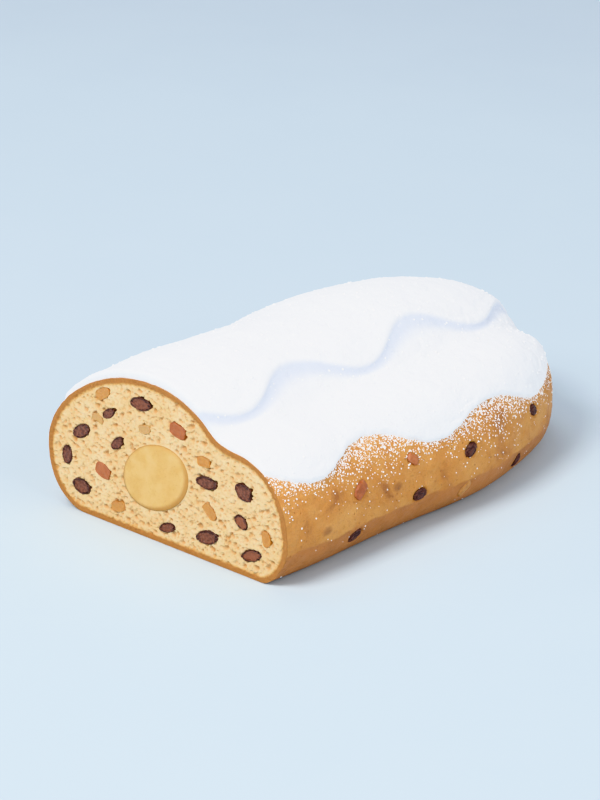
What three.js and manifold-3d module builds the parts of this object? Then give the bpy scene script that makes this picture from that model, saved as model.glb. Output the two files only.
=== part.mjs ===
// A Christmas stollen with its front end cut off: a folded fruit loaf round a rope of marzipan,
// under a thick coat of icing sugar. Sizes are in millimetres. In the working frame +X is to the
// right of the cut face, +Y runs from the knife's cut into the loaf and +Z is up, with the flat
// underside at z = 0. The finished group is moved so that its origin is the middle of its footprint.
import * as THREE from "three";
import { LoftGeometry } from "three/addons/geometries/LoftGeometry.js";
import { mergeVertices } from "three/addons/utils/BufferGeometryUtils.js";
import Module from "manifold-3d";

const wasm = await Module();
wasm.setup();

// ---- driving dimensions ------------------------------------------------------------------

const LENGTH = 206; // from the cut face to the tip of the baked end
const GAP = 0.3; // clearance between two touching solids
const KNIFE = 12; // how far the uncut loaf reaches in front of the cut
const FAR = 300; // reach of the trimming solids, well past the loaf

// The outline of the cut face, counter-clockwise from its flat base. Each knot gives its place,
// the heading of the outline there in degrees, and how far the curve holds it before and after.
const KNOTS = [
  { x: 20, z: 0, heading: 0, before: 10, after: 8 }, // left end of the flat underside
  { x: 118, z: 0, heading: 0, before: 8, after: 6 }, // right end of the flat underside
  { x: 132, z: 18, heading: 90, before: 9, after: 17 }, // widest point of the folded lip
  { x: 108.5, z: 49.5, heading: 174, before: 15, after: 6 }, // top of the folded lip
  { x: 93.5, z: 52.5, heading: 150, before: 5, after: 6 }, // crease between lip and back
  { x: 57, z: 66, heading: 180, before: 26, after: 26 }, // top of the back
  { x: 0, z: 23, heading: -90, before: 24, after: 13 }, // widest point of the back
];
const AROUND = 44; // points round the outline
const STATIONS = 17; // outlines along the loaf

// How the outline shrinks towards the baked end: its half widths and its heights above and below
// the waist each hold to a distance from the cut, then fall to nothing at the tip.
const WAIST = { x: 62, z: 20 };
const SHRINK = {
  across: { from: 95, power: 2.3 },
  above: { from: 120, power: 2.4 },
  below: { from: 182, power: 2.2 },
};
const TIP = 0.05; // the share of the outline that is left as the flat tip
const SWELL = { share: 0.012, pitch: 92 }; // hand-shaped unevenness along the loaf

const MARZIPAN = { x: 61, z: 27, across: 19.2, up: 13.4, tilt: 26, length: 174, nose: 22 };

// Icing sugar: thickness on the crown, at the lower edge, and the height over which it thickens.
const SUGAR = { crown: 3.6, edge: 1.1, rise: 20 };
// The height of the sugar's lower edge falls slightly along the loaf, and waves.
const HEM = { start: 44, slope: 0.05, wave: 4.5 };
const HEM_RIGHT = { crest: 56, pitch: 70 };
const HEM_LEFT = { crest: 73, pitch: 62 };

// ---- fruit -------------------------------------------------------------------------------

// The three kinds of fruit: how boxy a piece is (1 is an ellipsoid) and its colour.
const RAISIN = { name: "raisin", power: 1, color: 0x4a2a26, roughness: 0.45 };
const ORANGE = { name: "orange_peel", power: 0.62, color: 0xb9683f, roughness: 0.4 };
const LEMON = { name: "lemon_peel", power: 0.62, color: 0xd0964a, roughness: 0.4 };

// Pieces that the knife has cut: place on the face, length and breadth, and turn in degrees.
const CUT_FRUIT = [
  { kind: RAISIN, x: 53, z: 56, size: [11.5, 5.3], turn: 7 },
  { kind: RAISIN, x: 35, z: 47, size: [7.9, 3.5], turn: 31 },
  { kind: RAISIN, x: 19, z: 35, size: [11, 5.2], turn: 30 },
  { kind: RAISIN, x: 39.5, z: 35.5, size: [8.7, 3.9], turn: 42 },
  { kind: RAISIN, x: 10.5, z: 22.5, size: [8.2, 5.4], turn: 85 },
  { kind: RAISIN, x: 18.5, z: 11, size: [10.2, 6.1], turn: -2 },
  { kind: RAISIN, x: 89, z: 33, size: [11.4, 5.1], turn: 4 },
  { kind: RAISIN, x: 109, z: 35, size: [9.1, 6.9], turn: -27 },
  { kind: RAISIN, x: 67, z: 7.5, size: [9.2, 3.8], turn: 19 },
  { kind: RAISIN, x: 89, z: 10, size: [12.3, 5.4], turn: 16 },
  { kind: RAISIN, x: 107.5, z: 22, size: [6.8, 5.3], turn: -47 },
  { kind: RAISIN, x: 113, z: 9.5, size: [11.7, 4.6], turn: 20 },
  { kind: ORANGE, x: 73.5, z: 50.5, size: [8.5, 5.5], turn: -10 },
  { kind: ORANGE, x: 31, z: 21.5, size: [7.9, 5.6], turn: -17 },
  { kind: LEMON, x: 31.5, z: 54.5, size: [8, 4.2], turn: 30 },
  { kind: LEMON, x: 55, z: 46, size: [6.4, 3.4], turn: 14 },
  { kind: LEMON, x: 28.5, z: 43, size: [6.2, 3.2], turn: -8 },
  { kind: LEMON, x: 87.5, z: 41.5, size: [7, 4], turn: 2 },
  { kind: LEMON, x: 39.5, z: 8.5, size: [7.6, 4], turn: 14 },
  { kind: LEMON, x: 90.5, z: 21.5, size: [7.4, 4.6], turn: -42 },
  { kind: LEMON, x: 121, z: 19, size: [6.6, 4], turn: -82 },
];
const CUT_DEPTH = 2.6; // half depth of a cut piece
const CUT_SET_BACK = 0.8; // its centre behind the knife's plane

// Pieces that show through the crust: seen from which side, distance along the loaf (or across
// it, on the end), height, size and turn.
const RIGHT = new THREE.Vector3(1, 0, 0);
const LEFT = new THREE.Vector3(-1, 0, 0);
const END = new THREE.Vector3(0, 1, 0);
const CRUST_FRUIT = [
  { kind: RAISIN, side: RIGHT, along: 40, z: 11, size: [8, 5.6], turn: 6 },
  { kind: RAISIN, side: RIGHT, along: 77, z: 17, size: [8.4, 5], turn: 4 },
  { kind: RAISIN, side: RIGHT, along: 107, z: 27, size: [8, 5.6], turn: 35 },
  { kind: RAISIN, side: RIGHT, along: 142, z: 10, size: [6.8, 5], turn: 30 },
  { kind: RAISIN, side: RIGHT, along: 156, z: 27, size: [8.4, 5], turn: -10 },
  { kind: ORANGE, side: RIGHT, along: 43, z: 29, size: [8.4, 5.4], turn: 48 },
  { kind: ORANGE, side: RIGHT, along: 75, z: 32, size: [6.4, 4], turn: -12 },
  { kind: LEMON, side: RIGHT, along: 104, z: 11, size: [8.2, 4.8], turn: 30 },
  { kind: RAISIN, side: LEFT, along: 22, z: 30, size: [8.2, 5.2], turn: -18 },
  { kind: RAISIN, side: LEFT, along: 63, z: 13, size: [8.6, 5.4], turn: 12 },
  { kind: RAISIN, side: LEFT, along: 98, z: 29, size: [7.6, 5.2], turn: -40 },
  { kind: RAISIN, side: LEFT, along: 136, z: 15, size: [8, 5], turn: 20 },
  { kind: ORANGE, side: LEFT, along: 48, z: 23, size: [8, 5.2], turn: 36 },
  { kind: LEMON, side: LEFT, along: 118, z: 17, size: [7.8, 4.6], turn: -26 },
  { kind: RAISIN, side: END, along: 84, z: 19, size: [8.2, 5.2], turn: 14 },
  { kind: ORANGE, side: END, along: 42, z: 15, size: [7.6, 5], turn: -30 },
];
const CRUST_DEPTH = 2.4; // half depth of a piece in the crust
const CRUST_PROUD = 0.9; // how far it stands out of the crust

const FRUIT_SEGMENTS = [8, 5]; // round and along a piece

// ---- from geometry to solid and back -----------------------------------------------------

// A closed three.js geometry as a solid that can be joined and cut.
function solid(geometry) {
  const bare = new THREE.BufferGeometry();
  bare.setAttribute("position", geometry.getAttribute("position"));
  bare.setIndex(geometry.getIndex());
  const merged = mergeVertices(bare, 1e-3);
  return new wasm.Manifold(
    new wasm.Mesh({
      numProp: 3,
      vertProperties: merged.attributes.position.array,
      triVerts: new Uint32Array(merged.index.array),
    }),
  );
}

// A solid as a named mesh.
function meshOf(name, body, look) {
  const faces = body.getMesh();
  const geometry = new THREE.BufferGeometry();
  geometry.setAttribute("position", new THREE.BufferAttribute(faces.vertProperties, 3));
  geometry.setIndex(new THREE.BufferAttribute(faces.triVerts, 1));
  geometry.computeVertexNormals();
  const mesh = new THREE.Mesh(geometry, new THREE.MeshStandardMaterial(look));
  mesh.name = name;
  return mesh;
}

// A large block that keeps everything behind the knife's plane.
function behindTheCut() {
  return solid(new THREE.BoxGeometry(FAR * 2, FAR, FAR * 2).translate(0, FAR / 2, 0));
}

// ---- the loaf ----------------------------------------------------------------------------

// The outline of the cut face as a closed curve through the knots.
function outlineCurve() {
  const path = new THREE.Path();
  path.moveTo(KNOTS[0].x, KNOTS[0].z);
  KNOTS.forEach((here, i) => {
    const next = KNOTS[(i + 1) % KNOTS.length];
    const leave = THREE.MathUtils.degToRad(here.heading);
    const arrive = THREE.MathUtils.degToRad(next.heading);
    path.bezierCurveTo(
      here.x + here.after * Math.cos(leave),
      here.z + here.after * Math.sin(leave),
      next.x - next.before * Math.cos(arrive),
      next.z - next.before * Math.sin(arrive),
      next.x,
      next.z,
    );
  });
  return path;
}

// Evenly spaced points of the outline, each with its outward normal, clockwise as the loft
// wants them.
function outlinePoints() {
  const even = outlineCurve().getSpacedPoints(AROUND).slice(0, AROUND).reverse();
  return even.map((point, i) => {
    const before = even[(i + AROUND - 1) % AROUND];
    const after = even[(i + 1) % AROUND];
    const along = new THREE.Vector2().subVectors(after, before).normalize();
    return { x: point.x, z: point.y, normal: new THREE.Vector2(-along.y, along.x) };
  });
}

// What is left of a size at distance y, for one entry of SHRINK.
function shrink({ from, power }, y) {
  const into = THREE.MathUtils.clamp((y - from) / (LENGTH - from), 0, 1);
  return Math.max(TIP, (1 - into ** power) ** (1 / power));
}

// The loaf's skin, grown outwards by growth(z, y) millimetres: a loft of shrinking outlines.
function skin(growth) {
  const outline = outlinePoints();
  const sections = [];
  for (let i = -1; i <= STATIONS; i++) {
    const y = i < 0 ? -KNIFE : LENGTH * Math.sin((i / STATIONS) * (Math.PI / 2));
    const swell = 1 + SWELL.share * Math.sin((2 * Math.PI * y) / SWELL.pitch);
    const across = shrink(SHRINK.across, y) * swell;
    const above = shrink(SHRINK.above, y) * swell;
    const below = shrink(SHRINK.below, y);
    const longer = 1 + growth(WAIST.z, y) / LENGTH;
    sections.push(
      outline.map(({ x, z, normal }) => {
        const out = growth(z, y);
        const dx = x + normal.x * out - WAIST.x;
        const dz = z + normal.y * out - WAIST.z;
        const tall = dz > 0 ? above : below;
        return new THREE.Vector3(WAIST.x + dx * across, y * longer, WAIST.z + dz * tall);
      }),
    );
  }
  return new LoftGeometry(sections, { capStart: true, capEnd: true });
}

// ---- the marzipan rope -------------------------------------------------------------------

// The rope, grown outwards: an oval loft with a rounded inner end.
function rope(growth) {
  const [around, stations] = [24, 7];
  const tilt = (MARZIPAN.tilt * Math.PI) / 180;
  const sections = [];
  for (let i = -1; i <= stations; i++) {
    const nose = Math.max(0, i) / stations;
    const y = i < 0 ? -KNIFE : MARZIPAN.length - MARZIPAN.nose * (1 - Math.sin((nose * Math.PI) / 2));
    const share = Math.max(0.12, Math.cos((nose * Math.PI) / 2));
    const oval = [];
    for (let j = 0; j < around; j++) {
      const turn = (-2 * Math.PI * j) / around;
      const long = (MARZIPAN.across + growth) * share * Math.cos(turn);
      const short = (MARZIPAN.up + growth) * share * Math.sin(turn);
      oval.push(
        new THREE.Vector3(
          MARZIPAN.x + long * Math.cos(tilt) - short * Math.sin(tilt),
          y + (i === stations ? growth : 0),
          MARZIPAN.z + long * Math.sin(tilt) + short * Math.cos(tilt),
        ),
      );
    }
    sections.push(oval);
  }
  return new LoftGeometry(sections, { capStart: true, capEnd: true });
}

// ---- fruit -------------------------------------------------------------------------------

// A piece of fruit about the origin, long in X, deep in Y and broad in Z, grown outwards. A power
// under 1 squares the ellipsoid off.
function nugget(power, [length, breadth], depth, growth) {
  const ball = new THREE.SphereGeometry(1, ...FRUIT_SEGMENTS).rotateX(Math.PI / 2);
  const place = ball.getAttribute("position");
  const bulge = (v) => Math.sign(v) * Math.abs(v) ** power;
  for (let i = 0; i < place.count; i++) {
    place.setXYZ(
      i,
      bulge(place.getX(i)) * (length / 2 + growth),
      place.getY(i) * (depth + growth),
      bulge(place.getZ(i)) * (breadth / 2 + growth),
    );
  }
  return ball;
}

// A cut piece: level with the knife's plane, its turn seen from the front.
function cutPiece({ kind, x, z, size, turn }, growth) {
  return nugget(kind.power, size, CUT_DEPTH, growth)
    .rotateY(-THREE.MathUtils.degToRad(turn))
    .translate(x, CUT_SET_BACK, z);
}

// A piece in the crust: it stands a little out of the skin, square to it.
function crustPiece({ kind, side, along, z, size, turn }, growth, loaf) {
  const start = side === END ? new THREE.Vector3(along, FAR, z) : new THREE.Vector3(side.x * FAR, along, z);
  const ray = new THREE.Raycaster(start, side.clone().negate());
  const hit = ray.intersectObject(loaf)[0];
  const outwards = hit.face.normal.clone();
  const centre = hit.point.clone().addScaledVector(outwards, CRUST_PROUD - CRUST_DEPTH);
  const frame = new THREE.Quaternion().setFromUnitVectors(new THREE.Vector3(0, -1, 0), outwards);
  return nugget(kind.power, size, CRUST_DEPTH, growth)
    .rotateY(-THREE.MathUtils.degToRad(turn))
    .applyQuaternion(frame)
    .translate(...centre);
}

// Every piece of fruit as its name, its look, its solid and the pocket that it sits in.
function allFruit(uncutLoaf) {
  const target = new THREE.Mesh(uncutLoaf, new THREE.MeshBasicMaterial());
  const block = behindTheCut();
  const count = new Map();
  const named = ({ kind }, make, trim) => {
    const number = (count.get(kind) ?? 0) + 1;
    count.set(kind, number);
    const body = solid(make(0));
    return {
      name: `${kind.name}_${String(number).padStart(2, "0")}`,
      look: { color: kind.color, roughness: kind.roughness, metalness: 0 },
      body: trim ? body.intersect(block) : body,
      pocket: solid(make(GAP)),
    };
  };
  return [
    ...CUT_FRUIT.map((piece) => named(piece, (growth) => cutPiece(piece, growth), true)),
    ...CRUST_FRUIT.map((piece) => named(piece, (growth) => crustPiece(piece, growth, target), false)),
  ];
}

// ---- icing sugar -------------------------------------------------------------------------

// Height of the sugar's lower edge at distance y.
function hem({ crest, pitch }, y) {
  return HEM.start - HEM.slope * y + HEM.wave * Math.cos((2 * Math.PI * (y - crest)) / pitch);
}

// The space above the wavy edge, on the right or the left half of the loaf.
function aboveHem(wave, side) {
  const steps = 26;
  const reach = LENGTH + 10;
  const curtain = new THREE.Shape();
  curtain.moveTo(0, FAR / 2);
  for (let i = 0; i <= steps; i++) {
    const y = (reach * i) / steps;
    curtain.lineTo(y, hem(wave, y));
  }
  curtain.lineTo(reach, FAR / 2);
  const block = new THREE.ExtrudeGeometry(curtain, { depth: FAR / 2, steps: 1, bevelEnabled: false });
  // The drawing plane's axes become Y and Z, and the extrusion runs along X.
  block.applyMatrix4(
    new THREE.Matrix4().makeBasis(
      new THREE.Vector3(0, 1, 0),
      new THREE.Vector3(0, 0, 1),
      new THREE.Vector3(1, 0, 0),
    ),
  );
  return solid(block.translate(side === RIGHT ? WAIST.x : WAIST.x - FAR / 2, 0, 0));
}

// The coat: the space between two grown skins, above the hem and behind the cut.
function sugarCoat() {
  const thickness = (z, y) => {
    const climb = THREE.MathUtils.smoothstep(z, hem(HEM_RIGHT, y), hem(HEM_RIGHT, y) + SUGAR.rise);
    return GAP + THREE.MathUtils.lerp(SUGAR.edge, SUGAR.crown, climb);
  };
  return solid(skin(thickness))
    .subtract(solid(skin(() => GAP)))
    .intersect(aboveHem(HEM_RIGHT, RIGHT).add(aboveHem(HEM_LEFT, LEFT)))
    .intersect(behindTheCut());
}

// ---- the whole stollen -------------------------------------------------------------------

function stollen() {
  const group = new THREE.Group();
  const uncut = skin(() => 0);
  const fruit = allFruit(uncut);
  let loaf = solid(uncut).intersect(behindTheCut()).subtract(solid(rope(GAP)));
  for (const { pocket } of fruit) {
    loaf = loaf.subtract(pocket);
  }
  const marzipan = solid(rope(0)).intersect(behindTheCut());
  group.add(meshOf("loaf", loaf, { color: 0xc88b49, roughness: 0.75, metalness: 0 }));
  group.add(meshOf("marzipan_core", marzipan, { color: 0xdfb870, roughness: 0.6, metalness: 0 }));
  group.add(meshOf("sugar_coat", sugarCoat(), { color: 0xfafafa, roughness: 0.9, metalness: 0 }));
  for (const { name, body, look } of fruit) {
    group.add(meshOf(name, body, look));
  }
  const box = new THREE.Box3().setFromObject(group);
  const middle = box.getCenter(new THREE.Vector3());
  group.position.set(-middle.x, -middle.y, -box.min.z);
  return group;
}

export default stollen();
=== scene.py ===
"""A cut stollen: crumb, crust, marzipan, fruit and a thick coat of icing sugar.

Lengths are in millimetres in the working frame. +X is to the right of the cut face, +Y runs
from the knife's cut into the loaf and +Z is up, with the flat underside at z = 0. A finished
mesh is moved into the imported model's own frame, in metres, by serve().
"""

import logging
import math
import random
from dataclasses import dataclass, field
from enum import Enum
from functools import cached_property
from typing import Callable, Iterable, Sequence

import bmesh
import bpy
import numpy as np
from bmesh.types import BMEdge, BMesh, BMVert
from mathutils import Matrix, Vector, noise
from mathutils.geometry import interpolate_bezier
from mathutils.kdtree import KDTree


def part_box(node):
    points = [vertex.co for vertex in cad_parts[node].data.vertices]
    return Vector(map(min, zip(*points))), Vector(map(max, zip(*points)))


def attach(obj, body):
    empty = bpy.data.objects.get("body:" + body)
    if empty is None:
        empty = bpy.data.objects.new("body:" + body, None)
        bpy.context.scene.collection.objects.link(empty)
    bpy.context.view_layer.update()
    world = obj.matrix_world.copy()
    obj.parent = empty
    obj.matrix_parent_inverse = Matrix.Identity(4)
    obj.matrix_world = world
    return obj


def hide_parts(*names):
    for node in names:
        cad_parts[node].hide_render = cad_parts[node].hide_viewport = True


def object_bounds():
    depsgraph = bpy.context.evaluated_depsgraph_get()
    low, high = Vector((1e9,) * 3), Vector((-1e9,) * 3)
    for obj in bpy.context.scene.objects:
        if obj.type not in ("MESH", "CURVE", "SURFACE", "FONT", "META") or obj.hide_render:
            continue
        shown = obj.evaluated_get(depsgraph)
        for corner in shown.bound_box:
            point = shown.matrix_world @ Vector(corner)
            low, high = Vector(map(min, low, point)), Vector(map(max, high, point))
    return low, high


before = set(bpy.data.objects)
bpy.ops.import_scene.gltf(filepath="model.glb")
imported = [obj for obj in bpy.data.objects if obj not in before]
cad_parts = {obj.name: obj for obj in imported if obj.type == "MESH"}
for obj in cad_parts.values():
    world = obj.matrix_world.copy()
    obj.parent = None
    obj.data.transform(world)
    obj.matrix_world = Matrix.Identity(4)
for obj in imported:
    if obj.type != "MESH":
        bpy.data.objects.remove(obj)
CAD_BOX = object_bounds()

LOG = logging.getLogger("stollen")
MM = 0.001
ROPE_MIDDLE = 61.0  # X of the marzipan rope's middle in the working frame


# ---- small tools ---------------------------------------------------------------------------


def working_origin() -> Vector:
    """The working frame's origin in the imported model's frame, in millimetres.

    Returns:
        The place.
    """
    rope_low, rope_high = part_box("marzipan_core")
    loaf_low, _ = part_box("loaf")
    middle = (rope_low.x + rope_high.x) / 2 / MM
    return Vector((middle - ROPE_MIDDLE, loaf_low.y / MM, loaf_low.z / MM))


ORIGIN = working_origin()


def smooth(low: float, high: float, value: np.ndarray | float) -> np.ndarray | float:
    """A smooth step from 0 at low to 1 at high.

    Args:
        low: Where the step starts.
        high: Where it ends. It may be below low, and the step then falls.
        value: What is looked up.

    Returns:
        The height of the step at value.
    """
    share = np.clip((value - low) / (high - low), 0.0, 1.0)
    return share * share * (3.0 - 2.0 * share)


def waves(points: np.ndarray, length: float, seed: float, octaves: int = 1) -> np.ndarray:
    """Smooth noise at many points.

    Args:
        points: Points in an array whose last axis is X, Y, Z.
        length: The length of its waves.
        seed: Moves the pattern, so that two calls differ.
        octaves: How many finer layers it has.

    Returns:
        Values from about -1 to 1, one for each point.
    """
    flat = points.reshape(-1, 3) / length + np.array((seed, seed * 1.7, -seed))
    if octaves == 1:
        found = [noise.noise(p) for p in flat.tolist()]
    else:
        found = [noise.fractal(p, 1.0, 2.0, octaves) for p in flat.tolist()]
    return np.array(found).reshape(points.shape[:-1])


def even_steps(total: float, step: float) -> np.ndarray:
    """Positions from 0 to total, about step apart."""
    return np.linspace(0.0, total, max(2, round(total / step) + 1))


def ring_edges(ring: Sequence[BMVert]) -> list[BMEdge]:
    """The edges that join the vertices of a ring to each other.

    Args:
        ring: The ring's vertices.

    Returns:
        The edges.
    """
    members = set(ring)
    found = {e for v in ring for e in v.link_edges if e.other_vert(v) in members}
    return list(found)


def start_ring(bm: BMesh, points: np.ndarray) -> list[BMVert]:
    """Makes a closed ring from a circle.

    Args:
        bm: The bmesh that gets it. Its layer "order" numbers the ring's vertices.
        points: Where the vertices go, in order.

    Returns:
        The ring's vertices in order.
    """
    order = bm.verts.layers.int["order"]
    ring = bmesh.ops.create_circle(bm, segments=len(points), radius=1.0)["verts"]
    for i, (vert, point) in enumerate(zip(ring, points)):
        vert.co = point
        vert[order] = i
    return ring


def next_ring(bm: BMesh, ring: Sequence[BMVert], points: np.ndarray) -> list[BMVert]:
    """Extrudes a ring, and moves the new one to its place.

    Args:
        bm: The bmesh that holds the ring.
        ring: The last ring.
        points: Where the new ring's vertices go, in the same order.

    Returns:
        The new ring's vertices in order.
    """
    order = bm.verts.layers.int["order"]
    made = bmesh.ops.extrude_edge_only(bm, edges=ring_edges(ring))["geom"]
    grown = sorted((g for g in made if isinstance(g, BMVert)), key=lambda v: v[order])
    for vert, point in zip(grown, points):
        vert.co = point
    return grown


def close_point(bm: BMesh, ring: Sequence[BMVert]) -> None:
    """Closes a tube by drawing its last ring together to one point."""
    middle = sum((v.co for v in ring), Vector()) / len(ring)
    bmesh.ops.pointmerge(bm, verts=list(ring), merge_co=middle)


@dataclass(frozen=True)
class KnifeNet:
    """A fine net of squares over a knife-cut plane, tied to the plane's borders."""

    mesh: float
    margin: float

    def lay(
        self,
        bm: BMesh,
        borders: Sequence[Sequence[BMVert]],
        inside: Callable[[float, float], float],
    ) -> list[BMVert]:
        """Fills the plane y = 0 between its borders.

        Args:
            bm: The bmesh that holds the borders.
            borders: The outer ring, and the rings of any holes.
            inside: Gives how far a point of the plane lies inside the borders.

        Returns:
            The vertices of the net, without those of the borders.
        """
        low = Vector((min(v.co.x for v in borders[0]), 0, min(v.co.z for v in borders[0])))
        high = Vector((max(v.co.x for v in borders[0]), 0, max(v.co.z for v in borders[0])))
        columns = math.ceil((high.x - low.x) / self.mesh)
        rows = math.ceil((high.z - low.z) / self.mesh)
        stretch = Matrix.Diagonal((columns * self.mesh, rows * self.mesh, 1.0, 1.0))
        upright = Matrix.Rotation(math.pi / 2, 4, "X")
        middle = Matrix.Translation((low + high) / 2)
        net = bmesh.ops.create_grid(
            bm, x_segments=columns, y_segments=rows, size=0.5, matrix=middle @ upright @ stretch
        )["verts"]
        outside = [v for v in net if inside(v.co.x, v.co.z) < self.margin]
        kept = [v for v in net if inside(v.co.x, v.co.z) >= self.margin]
        bmesh.ops.delete(bm, geom=outside, context="VERTS")
        lone = {v for v in kept if not v.link_faces}
        bmesh.ops.delete(bm, geom=list(lone), context="VERTS")
        kept = [v for v in kept if v not in lone]
        hems = {e for v in kept for e in v.link_edges if len(e.link_faces) == 1}
        edges = list(hems) + [e for ring in borders for e in ring_edges(ring)]
        bmesh.ops.triangle_fill(
            bm, use_beauty=True, use_dissolve=False, edges=edges, normal=Vector((0, -1, 0))
        )
        return kept


def serve(bm: BMesh, name: str, finish: "Finish", nodes: Iterable[str]) -> bpy.types.Object:
    """Turns a finished bmesh into a piece of the stollen.

    Args:
        bm: The bmesh, in the working frame. It is freed.
        name: The piece's name.
        finish: What its surface looks like.
        nodes: The CAD nodes that the piece stands for.

    Returns:
        The piece, riding on the stollen's one body.
    """
    bmesh.ops.translate(bm, verts=bm.verts, vec=ORIGIN)
    bmesh.ops.scale(bm, verts=bm.verts, vec=(MM, MM, MM))
    bmesh.ops.recalc_face_normals(bm, faces=bm.faces)
    for face in bm.faces:
        face.smooth = True
    mesh = bpy.data.meshes.new(name)
    bm.to_mesh(mesh)
    bm.free()
    mesh.materials.append(finish.material)
    piece = bpy.data.objects.new(name, mesh)
    bpy.context.scene.collection.objects.link(piece)
    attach(piece, "root")
    for node in nodes:
        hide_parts(node)
    mesh.calc_loop_triangles()
    LOG.info("%s: %d triangles", name, len(mesh.loop_triangles))
    return piece


# ---- finishes ------------------------------------------------------------------------------

Tint = tuple[int, int, int]
Socket = bpy.types.NodeSocket


def linear(tint: Tint) -> tuple[float, float, float, float]:
    """A colour of 0 to 255, as it looks on a screen, as the shader's linear one.

    Args:
        tint: The colour.

    Returns:
        The linear colour, with an alpha of 1.
    """
    parts = [c / 255 for c in tint]
    red, green, blue = (c / 12.92 if c <= 0.04045 else ((c + 0.055) / 1.055) ** 2.4 for c in parts)
    return red, green, blue, 1.0


class Recipe:
    """The node tree of one material, written as short calls. Patterns read Object coordinates."""

    def __init__(self, name: str) -> None:
        """Starts a material with its shader.

        Args:
            name: The material's name.
        """
        self.material = bpy.data.materials.new(name)
        self.material.use_nodes = True
        self.tree = self.material.node_tree
        self.shader = self.tree.nodes["Principled BSDF"]
        self.place = self.node("ShaderNodeTexCoord").outputs["Object"]

    def node(self, kind: str, inputs: dict | None = None, **settings: object) -> bpy.types.Node:
        """Adds a node.

        Args:
            kind: The node's type.
            inputs: A value or a socket for each input, by name or number.
            settings: The node's own properties.

        Returns:
            The node.
        """
        made = self.tree.nodes.new(kind)
        for key, value in settings.items():
            setattr(made, key, value)
        for key, value in (inputs or {}).items():
            if isinstance(value, Socket):
                self.tree.links.new(value, made.inputs[key])
            else:
                made.inputs[key].default_value = value
        return made

    def constant(self, **values: float | tuple) -> None:
        """Sets the shader's own sockets, with _ for each space in their names."""
        for key, value in values.items():
            self.shader.inputs[key.replace("_", " ")].default_value = value

    def link(self, socket: Socket, name: str) -> None:
        """Links a socket to the shader's input of that name."""
        self.tree.links.new(socket, self.shader.inputs[name])

    def mottle(
        self, size: float, detail: float = 3.0, rough: float = 0.55, warp: float = 0.0
    ) -> Socket:
        """Noise from 0 to 1.

        Args:
            size: The size of its blotches.
            detail: How many finer layers it has.
            rough: How strong those are.
            warp: How far it is bent by itself.

        Returns:
            The noise's value.
        """
        inputs = {
            "Vector": self.place, "Scale": 1 / (size * MM), "Detail": detail,
            "Roughness": rough, "Distortion": warp,
        }
        return self.node("ShaderNodeTexNoise", inputs).outputs[0]

    def grains(self, size: float) -> Socket:
        """Distance to the middle of the nearest grain, for grains of that size."""
        inputs = {"Vector": self.place, "Scale": 1 / (size * MM)}
        return self.node("ShaderNodeTexVoronoi", inputs).outputs["Distance"]

    def told(self, name: str) -> Socket:
        """A value that the mesh holds for each of its vertices."""
        return self.node("ShaderNodeAttribute", attribute_name=name).outputs["Fac"]

    def step(
        self, value: Socket, low: float, high: float, start: float = 0.0, end: float = 1.0
    ) -> Socket:
        """A smooth step of a value.

        Args:
            value: What is looked up.
            low: Where the step starts.
            high: Where it ends.
            start: The result below low.
            end: The result above high.

        Returns:
            The result.
        """
        inputs = {"Value": value, "From Min": low, "From Max": high, "To Min": start, "To Max": end}
        return self.node("ShaderNodeMapRange", inputs, interpolation_type="SMOOTHSTEP").outputs[0]

    def sum(self, operation: str, first: Socket | float, second: Socket | float) -> Socket:
        """Arithmetic on two values, by the name of the operation."""
        return self.node("ShaderNodeMath", {0: first, 1: second}, operation=operation).outputs[0]

    def scaled(self, value: Socket, by: float, plus: float) -> Socket:
        """A value times a number, plus another number."""
        return self.node("ShaderNodeMath", {0: value, 1: by, 2: plus}, operation="MULTIPLY_ADD").outputs[0]

    def between(self, share: Socket, first: Socket | float, second: Socket | float) -> Socket:
        """A mix of two values."""
        return self.node("ShaderNodeMix", {0: share, 2: first, 3: second}, data_type="FLOAT").outputs[0]

    def blend(self, share: Socket | float, first: Socket | Tint, second: Socket | Tint) -> Socket:
        """A mix of two colours.

        Args:
            share: How much of the second there is.
            first: A colour or a socket.
            second: A colour or a socket.

        Returns:
            The mixed colour.
        """
        pair = [c if isinstance(c, Socket) else linear(c) for c in (first, second)]
        inputs = {0: share, 6: pair[0], 7: pair[1]}
        return self.node("ShaderNodeMix", inputs, data_type="RGBA").outputs[2]

    def bump(self, height: Socket, depth: float, under: Socket | None = None) -> Socket:
        """Fine relief.

        Args:
            height: Its height, from 0 to 1.
            depth: The height of 1, in millimetres.
            under: Another relief that it lies on.

        Returns:
            The normal.
        """
        inputs = {"Height": height, "Distance": depth * MM, "Strength": 1.0}
        if under is not None:
            inputs["Normal"] = under
        return self.node("ShaderNodeBump", inputs).outputs[0]


@dataclass(frozen=True)
class Finish:
    """What a surface looks like."""

    name: str = "finish"

    @cached_property
    def material(self) -> bpy.types.Material:
        """The finish as a material, made once.

        Returns:
            The material.
        """
        recipe = Recipe(self.name)
        self.mix(recipe)
        return recipe.material

    def mix(self, recipe: Recipe) -> None:
        """Fills the node tree."""
        raise NotImplementedError


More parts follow.
